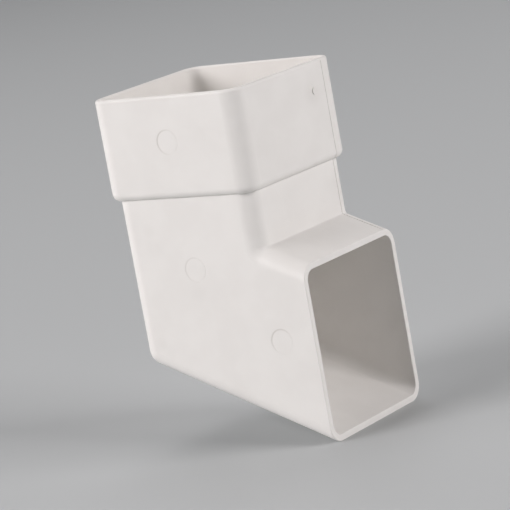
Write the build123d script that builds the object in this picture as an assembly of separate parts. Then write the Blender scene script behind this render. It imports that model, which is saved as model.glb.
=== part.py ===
"""Downspout shoe for a square downpipe: one hollow plastic moulding.

The pipe pushes down into the square socket and stands on the stop at its foot. Below the stop a
square duct of the pipe's own width drops, folds forward and ends in a raked spout. The spout's
mouth is cut parallel to the pipe.

Frame: origin at the middle of the pipe stop, +Z up the pipe, +X out of the spout. Left and right are
as seen looking out of the spout, so left is +Y.
"""

import os
from math import cos, radians, tan

from build123d import *

# Driving dimensions, in millimetres and degrees
pipe_width = 65.0  # outside of the square pipe, and of the duct below the socket
pipe_corner = 4.7  # outside corner radius of the pipe
pipe_clearance = 0.25  # gap between the pipe and the socket on each side
socket_wall = 2.05
socket_depth = 38.0  # rim to pipe stop
shoulder_wall = 2.5  # thickness of the ledge that the pipe stands on
shoulder_round = 3.0  # rounding under the socket's outside edge
rim_round = 1.15  # rounding of the rim's outside edge
lead_in = 0.6  # depth of the flare that guides the pipe into the socket
lead_in_flare = 45.0  # its slope away from the pipe's axis
duct_wall = 2.5
duct_corner = 6.6  # outside rounding of the duct's long edges and of its back fold
notch_round = 0.9  # small fillet where the spout's top meets the front wall
notch_drop = 24.45  # pipe stop down to the notch
spout_rake = 22.5  # slope of the spout below the horizontal
mouth_reach = 17.6  # front wall out to the mouth
mouth_round = 0.3  # broken edges of the mouth
pin_mark_width = 9.6  # round witness lines that the ejector pins leave, at the middle of the line
pin_line_width = 0.5
pin_line_depth = 0.06
socket_mark_drop = 18.1  # rim down to the socket's mark
drop_mark_drop = 31.1  # pipe stop down to the drop's mark
drop_mark_forward = 0.5  # pipe's axis forward to the drop's mark
spout_mark_inset = 15.05  # mouth back to the spout's mark
spout_mark_depth = 32.4  # spout's top down to the spout's mark, square to the slope
gate_stub_width = 2.8  # low round stub that the injection gate leaves
gate_stub_height = 0.4
gate_stub_drop = 11.6  # rim down to the gate stub
gate_stub_inset = 17.05  # left side of the socket in to the gate stub
seam_inset = 7.0  # left side of the duct in to the mould's parting line
seam_width = 0.4
seam_depth = 0.15

# Sizes that follow
half_width = pipe_width / 2
fall = tan(radians(spout_rake))  # drop of the spout for each millimetre outwards
steepen = 1 / cos(radians(spout_rake))  # upright height for each millimetre square to the spout
mouth_x = half_width + mouth_reach
socket_inside = pipe_width + 2 * pipe_clearance
socket_outside = socket_inside + 2 * socket_wall
bore_corner = pipe_corner + pipe_clearance
overrun = duct_wall  # how far cutting shapes run past the open ends


def spout_height(x, depth):
    """Height of the plane that lies depth below the spout's top, at x."""
    return -notch_drop - (x - half_width) * fall - depth * steepen


def square_block(width, corner, low, high):
    """Upright block of square plan with rounded corners."""
    outline = Plane.XY.offset(low) * RectangleRounded(width, width, corner)
    return extrude(outline, high - low)


def folded_duct(inset, top, end):
    """Square duct, its walls moved in by inset, from height top round the fold to x = end."""
    half = half_width - inset
    outline = Polyline(
        (-half, top),
        (half, top),
        (half, spout_height(half, inset)),
        (end, spout_height(end, inset)),
        (end, spout_height(end, pipe_width - inset)),
        (-half, spout_height(-half, pipe_width - inset)),
        close=True,
    )
    profile = Plane.XZ * make_face(outline)
    duct = extrude(profile, half, both=True)

    notch = duct.edges().filter_by(Axis.Y).sort_by(Axis.X)[2:4].sort_by(Axis.Z)[0]
    duct = fillet(notch, notch_round + inset)

    open_ends = duct.faces().sort_by(Axis.Z)[-1].edges() + duct.faces().sort_by(Axis.X)[-1].edges()
    long_edges = duct.faces().filter_by(Axis.Y).edges() - open_ends
    fold = duct.edges().filter_by(Axis.Y).sort_by(Axis.X)[:2].sort_by(Axis.Z)[0]
    return fillet(long_edges + [fold], duct_corner - inset)


def socket_block(inset, top):
    """Block of the socket's outside, its walls moved in by inset, rounded underneath and at its top."""
    corner = bore_corner + socket_wall - inset
    block = square_block(socket_outside - 2 * inset, corner, inset - shoulder_wall, top)
    block = fillet(block.faces().sort_by(Axis.Z)[0].edges(), shoulder_round - inset)
    return fillet(block.faces().sort_by(Axis.Z)[-1].edges(), rim_round)


def outer_form(inset, beyond):
    """Socket and duct as one full block, its walls moved in by inset, its open ends run on by beyond."""
    return socket_block(inset, socket_depth + beyond) + folded_duct(inset, 0, mouth_x + beyond)


def pipe_pocket():
    """Room for the pipe: from the stop up past the rim, with its flared lead-in."""
    pocket = square_block(socket_inside, bore_corner, 0, socket_depth + overrun)
    flare_foot = Plane.XY.offset(socket_depth - lead_in)
    flare = extrude(
        flare_foot * RectangleRounded(socket_inside, socket_inside, bore_corner),
        lead_in,
        taper=-lead_in_flare,
    )
    return pocket + flare


def pin_marks():
    """Shallow rings that sink the ejector pins' witness lines into the right side."""
    spout_mark_x = mouth_x - spout_mark_inset
    places = [
        (0, -socket_outside / 2, socket_depth - socket_mark_drop),
        (drop_mark_forward, -half_width, -drop_mark_drop),
        (spout_mark_x, -half_width, spout_height(spout_mark_x, spout_mark_depth)),
    ]
    line = Circle((pin_mark_width + pin_line_width) / 2) - Circle((pin_mark_width - pin_line_width) / 2)
    return [extrude(Plane(place, z_dir=(0, -1, 0)) * line, -pin_line_depth) for place in places]


def gate_stub():
    """Low round stub on the front of the socket, rooted in its wall."""
    place = (socket_outside / 2, socket_outside / 2 - gate_stub_inset, socket_depth - gate_stub_drop)
    return extrude(Plane(place, z_dir=(1, 0, 0)) * Circle(gate_stub_width / 2), gate_stub_height, both=True)


def parting_groove(outside):
    """Hairline groove that the parting of the mould leaves round the outside."""
    parting = Plane.XZ.offset(seam_inset - half_width)
    rind = section(outside, parting) - section(outer_form(seam_depth, overrun), parting)
    return extrude(rind, seam_width / 2, both=True)


def shoe_body():
    """The whole moulding: socket and duct, hollowed, with its edges broken and its marks."""
    outside = outer_form(0, 0)
    waterway = folded_duct(duct_wall, overrun, mouth_x + overrun)
    body = outside - pipe_pocket() - waterway
    mouth_edges = body.faces().filter_by(Axis.X).sort_by(Axis.X)[-1].edges()
    body = fillet(mouth_edges, mouth_round)
    return body - pin_marks() - parting_groove(outside) + gate_stub()


os.makedirs("parts", exist_ok=True)
export_step(shoe_body(), "parts/shoe_body.step")
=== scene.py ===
"""Looks of a white uPVC downspout shoe: its moulded finish, the studio around it and the camera."""

from math import cos, radians, sin

import bmesh
import bpy
from mathutils import Matrix, Quaternion, Vector


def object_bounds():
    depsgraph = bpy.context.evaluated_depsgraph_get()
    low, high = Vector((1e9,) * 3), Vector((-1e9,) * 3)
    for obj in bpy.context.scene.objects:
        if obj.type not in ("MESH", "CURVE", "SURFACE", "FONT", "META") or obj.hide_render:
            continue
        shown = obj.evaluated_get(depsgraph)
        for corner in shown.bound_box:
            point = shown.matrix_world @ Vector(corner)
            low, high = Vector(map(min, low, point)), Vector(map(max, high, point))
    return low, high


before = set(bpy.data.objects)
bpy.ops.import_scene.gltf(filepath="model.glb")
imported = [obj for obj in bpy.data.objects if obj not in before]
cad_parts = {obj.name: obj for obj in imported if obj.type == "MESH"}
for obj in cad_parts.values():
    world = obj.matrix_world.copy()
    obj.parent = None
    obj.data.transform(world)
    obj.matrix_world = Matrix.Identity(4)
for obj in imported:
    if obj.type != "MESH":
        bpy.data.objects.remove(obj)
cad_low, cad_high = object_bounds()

# Viewing angle of the photograph, in degrees and metres
VIEW_AZIMUTH = 36.414
VIEW_ELEVATION = 10.355
VIEW_ROLL = 10.297
VIEW_TARGET = Vector((0.005676, 0.0, -0.033674))
VIEW_DISTANCE = 1.18346
VIEW_LENS = 212.589  # millimetres, as is the sensor
VIEW_SENSOR = 36.0

# Studio, in metres, degrees and watts
FLOOR_SIZE = 12.0
FLOOR_COLOUR = (0.487, 0.505, 0.51, 1.0)
FLOOR_ROUGHNESS = 0.6
SKY_COLOUR = (0.95, 0.97, 1.0, 1.0)
SKY_STRENGTH = 0.005
SKY_SEEN = 0.55  # strength of the sky that is seen behind the floor
LAMP_DISTANCE = 3.2
LAMP_SIZE = 1.8
LAMP_COLOUR = (1.0, 0.964, 0.964)
LIGHT_BOUNCES = 10  # enough for the light deep inside the white duct
STUDIO_LAMPS = {
    # name: azimuth, elevation, watts
    "key": (-30.0, 25.0, 83.5),
    "key_side": (-70.0, 14.0, 25.5),
    "fill": (95.0, 25.0, 66.0),
    "back_right": (140.0, 12.0, 14.5),
    "back_top": (-150.0, 60.0, 22.5),
}

# White uPVC: colours and gloss
SHELL_LIGHT = (0.806, 0.789, 0.765, 1.0)
SHELL_DARK = (0.784, 0.766, 0.742, 1.0)
# colour of the stains, also used for the painted shade in the ejector pins' rings
STAIN_AND_SHADE_COLOUR = (0.543, 0.52, 0.485, 1.0)
ROUGHNESS_RANGE = (0.37, 0.47)
SPECULAR_LEVEL = 0.25
UPVC_IOR = 1.53

# Patterns in the plastic, in metres; a range is where the noise fades from one look to the other
MOTTLE_SIZE = 0.016
MOTTLE_DETAIL = 3.0
MOTTLE_RANGE = (0.35, 0.65)
FLOW_STRETCH = (1.0, 1.0, 0.12)  # flow lines run along the pipe
FLOW_SIZE = 0.004
FLOW_DETAIL = 2.0
FLOW_RANGE = (0.3, 0.7)
WAVE_SIZE = 0.013
WAVE_DETAIL = 0.0
WAVE_HEIGHT = 0.00005
GRAIN_SIZE = 0.0006
GRAIN_DETAIL = 2.0
GRAIN_HEIGHT = 0.000006
HAZE_SIZE = 0.03
HAZE_DETAIL = 5.0
HAZE_RANGE = (0.5, 0.72)
HAZE_STRENGTH = 0.05

# Painted shade along the ejector pins' rings, darkest on their shaded side: place, way to the darkest
# side and strength
RING_MARKS = (
    ((0.0, -0.0348, 0.0199), (-0.0044, 0.0, 0.0019), 0.5),
    ((0.0005, -0.0325, -0.0311), (-0.0042, 0.0, 0.0024), 0.26),
    ((0.03505, -0.0325, -0.06058), (-0.0026, 0.0, 0.004), 0.5),
)
RING_RADIUS = 0.0048
RING_LINE = (0.000125, 0.00045)  # distances from the line where its painted shade starts to fade and ends
RING_SHADE_REACH = (0.00192, 0.0096)  # the same, from the darkest point of the painted shade

# Faint smudges: place, reach and strength
SMUDGES = (
    ((0.0348, 0.0166, 0.0255), 0.0065, 0.12),
    ((-0.0018, -0.0348, 0.0145), 0.0035, 0.05),
    ((-0.019, -0.0325, -0.0145), 0.004, 0.05),
    ((-0.0143, -0.0325, -0.0207), 0.004, 0.04),
    ((-0.0007, -0.0325, -0.04), 0.005, 0.05),
    ((0.0252, -0.0325, -0.048), 0.005, 0.04),
    ((-0.0227, -0.0325, -0.0596), 0.004, 0.05),
)
SMUDGE_CORE = 0.2  # share of a smudge's reach that is fully dirty


def add_object(name, data):
    """New object in the scene that carries data."""
    made = bpy.data.objects.new(name, data)
    bpy.context.scene.collection.objects.link(made)
    return made


def facing_shoe(azimuth, elevation, distance, roll=0.0):
    """Place that looks at the shoe: azimuth 0 is on its -Y side, 90 on its +X side."""
    turn, rise = radians(azimuth), radians(elevation)
    back = Vector((sin(turn) * cos(rise), -cos(turn) * cos(rise), sin(rise)))
    aim = (-back).to_track_quat("-Z", "Y") @ Quaternion((0, 0, 1), -radians(roll))
    return Matrix.Translation(VIEW_TARGET + back * distance) @ aim.to_matrix().to_4x4()


def photo_camera():
    """Camera where the photograph was taken from, rolled as the shoe leans in it."""
    optics = bpy.data.cameras.new("photo_view")
    optics.sensor_width = VIEW_SENSOR
    optics.lens = VIEW_LENS
    optics.clip_end = FLOOR_SIZE
    camera = add_object("photo_view", optics)
    camera.matrix_world = facing_shoe(VIEW_AZIMUTH, VIEW_ELEVATION, VIEW_DISTANCE, VIEW_ROLL)
    bpy.context.scene.camera = camera


def softbox(name, azimuth, elevation, watts):
    """Square soft lamp that faces the shoe."""
    lamp = bpy.data.lights.new(name, "AREA")
    lamp.shape = "SQUARE"
    lamp.size = LAMP_SIZE
    lamp.color = LAMP_COLOUR
    lamp.energy = watts
    add_object(name, lamp).matrix_world = facing_shoe(azimuth, elevation, LAMP_DISTANCE)


def add_node(tree, kind, inputs, **settings):
    """New node in tree; each input takes a number, a vector or another node's output."""
    node = tree.nodes.new(kind)
    for name, value in settings.items():
        setattr(node, name, value)
    for name, value in inputs.items():
        if isinstance(value, bpy.types.NodeSocket):
            tree.links.new(value, node.inputs[name])
        else:
            node.inputs[name].default_value = value
    return node


def calculate(tree, operation, first, second=0.0):
    """One sum on two values."""
    return add_node(tree, "ShaderNodeMath", {0: first, 1: second}, operation=operation).outputs[0]


def noise(tree, where, size, detail):
    """Cloudy pattern whose patches are about size across."""
    inputs = {"Vector": where, "Scale": 1 / size, "Detail": detail}
    return add_node(tree, "ShaderNodeTexNoise", inputs).outputs[0]


def fade(tree, value, span, first, last):
    """Value that goes smoothly from first at the start of span to last at its end."""
    inputs = {"Value": value, "From Min": span[0], "From Max": span[1], "To Min": first, "To Max": last}
    return add_node(tree, "ShaderNodeMapRange", inputs, interpolation_type="SMOOTHSTEP").outputs[0]


def distance_from(tree, where, place):
    """Distance from place."""
    gap = add_node(tree, "ShaderNodeVectorMath", {0: where, 1: place}, operation="DISTANCE")
    return gap.outputs["Value"]


def mix_colours(tree, share, first, second):
    """Colour that goes from first to second as share goes from 0 to 1."""
    # A Mix node has sockets for each kind of data: its colours are 6 and 7, and their mixture is 2
    inputs = {0: share, 6: first, 7: second}
    return add_node(tree, "ShaderNodeMix", inputs, data_type="RGBA").outputs[2]


def pale_floor():
    """Plain floor that the shoe's lowest edge touches."""
    mesh = bpy.data.meshes.new("floor")
    shape = bmesh.new()
    bmesh.ops.create_grid(shape, x_segments=1, y_segments=1, size=FLOOR_SIZE / 2)
    bmesh.ops.translate(shape, verts=shape.verts, vec=(0, 0, cad_low.z))
    shape.to_mesh(mesh)
    shape.free()

    paint = bpy.data.materials.new("pale_floor")
    paint.use_nodes = True
    shader = paint.node_tree.nodes["Principled BSDF"]
    shader.inputs["Base Color"].default_value = FLOOR_COLOUR
    shader.inputs["Roughness"].default_value = FLOOR_ROUGHNESS
    mesh.materials.append(paint)
    add_object("floor", mesh)


def even_sky():
    """Sky that is pale where it is seen and throws hardly any light on the shoe."""
    world = bpy.data.worlds.new("even_sky")
    world.use_nodes = True
    tree = world.node_tree
    sky = tree.nodes["Background"]
    sky.inputs["Color"].default_value = SKY_COLOUR
    path = add_node(tree, "ShaderNodeLightPath", {}).outputs
    seen = calculate(tree, "MAXIMUM", path["Is Camera Ray"], path["Is Glossy Ray"])
    seen = calculate(tree, "MAXIMUM", seen, path["Is Transmission Ray"])
    strength = fade(tree, seen, (0.0, 1.0), SKY_STRENGTH, SKY_SEEN)
    tree.links.new(strength, sky.inputs["Strength"])
    bpy.context.scene.world = world


def studio():
    """Floor, sky and soft lamps round the shoe."""
    pale_floor()
    for name, placing in STUDIO_LAMPS.items():
        softbox(name, *placing)
    even_sky()
    bpy.context.scene.view_settings.view_transform = "Standard"
    bpy.context.scene.cycles.diffuse_bounces = LIGHT_BOUNCES


def ring_painted_shade(tree, where, place, dark_side, strength):
    """Mask of the painted shade along one ring, which fades with the distance from its darkest point.
    """
    off_line = calculate(tree, "SUBTRACT", distance_from(tree, where, place), RING_RADIUS)
    line = fade(tree, calculate(tree, "ABSOLUTE", off_line), RING_LINE, 1.0, 0.0)
    off_side = distance_from(tree, where, Vector(place) + Vector(dark_side))
    side = fade(tree, off_side, RING_SHADE_REACH, strength, 0.0)
    return calculate(tree, "MULTIPLY", line, side)


def stains_and_ring_shade(tree, where):
    """Mask of the haze of handling and the smudges, which are real dirt, and of the painted shade in
    the rings.
    """
    haze = noise(tree, where, HAZE_SIZE, HAZE_DETAIL)
    mask = fade(tree, haze, HAZE_RANGE, 0.0, HAZE_STRENGTH)
    for place, reach, strength in SMUDGES:
        span = (reach * SMUDGE_CORE, reach)
        spot = fade(tree, distance_from(tree, where, place), span, strength, 0.0)
        mask = calculate(tree, "ADD", mask, spot)
    # the rings add painted shade, not dirt
    for ring in RING_MARKS:
        mask = calculate(tree, "ADD", mask, ring_painted_shade(tree, where, *ring))
    return mask


def white_upvc():
    """Smooth moulded white uPVC with the faint unevenness, flow lines and dirt of a handled part, and
    painted shade in the ejector pins' rings.
    """
    material = bpy.data.materials.new("white_upvc_moulding")
    material.use_nodes = True
    tree = material.node_tree
    shader = tree.nodes["Principled BSDF"]
    shader.inputs["IOR"].default_value = UPVC_IOR
    shader.inputs["Specular IOR Level"].default_value = SPECULAR_LEVEL
    where = add_node(tree, "ShaderNodeTexCoord", {}).outputs["Object"]

    mottle = fade(tree, noise(tree, where, MOTTLE_SIZE, MOTTLE_DETAIL), MOTTLE_RANGE, 0.0, 1.0)
    plastic = mix_colours(tree, mottle, SHELL_DARK, SHELL_LIGHT)
    # the real stains and the painted shade in the rings darken the plastic towards one colour
    colour = mix_colours(tree, stains_and_ring_shade(tree, where), plastic, STAIN_AND_SHADE_COLOUR)
    tree.links.new(colour, shader.inputs["Base Color"])

    stretched = add_node(tree, "ShaderNodeMapping", {"Vector": where, "Scale": FLOW_STRETCH}).outputs[0]
    flow = noise(tree, stretched, FLOW_SIZE, FLOW_DETAIL)
    tree.links.new(fade(tree, flow, FLOW_RANGE, *ROUGHNESS_RANGE), shader.inputs["Roughness"])

    wave = noise(tree, where, WAVE_SIZE, WAVE_DETAIL)
    grain = noise(tree, where, GRAIN_SIZE, GRAIN_DETAIL)
    waved = add_node(tree, "ShaderNodeBump", {"Height": wave, "Distance": WAVE_HEIGHT}).outputs[0]
    rough = {"Height": grain, "Distance": GRAIN_HEIGHT, "Normal": waved}
    tree.links.new(add_node(tree, "ShaderNodeBump", rough).outputs[0], shader.inputs["Normal"])
    return material


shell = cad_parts["shoe_body"]
shell.material_slots[0].material = white_upvc()

photo_camera()
studio()
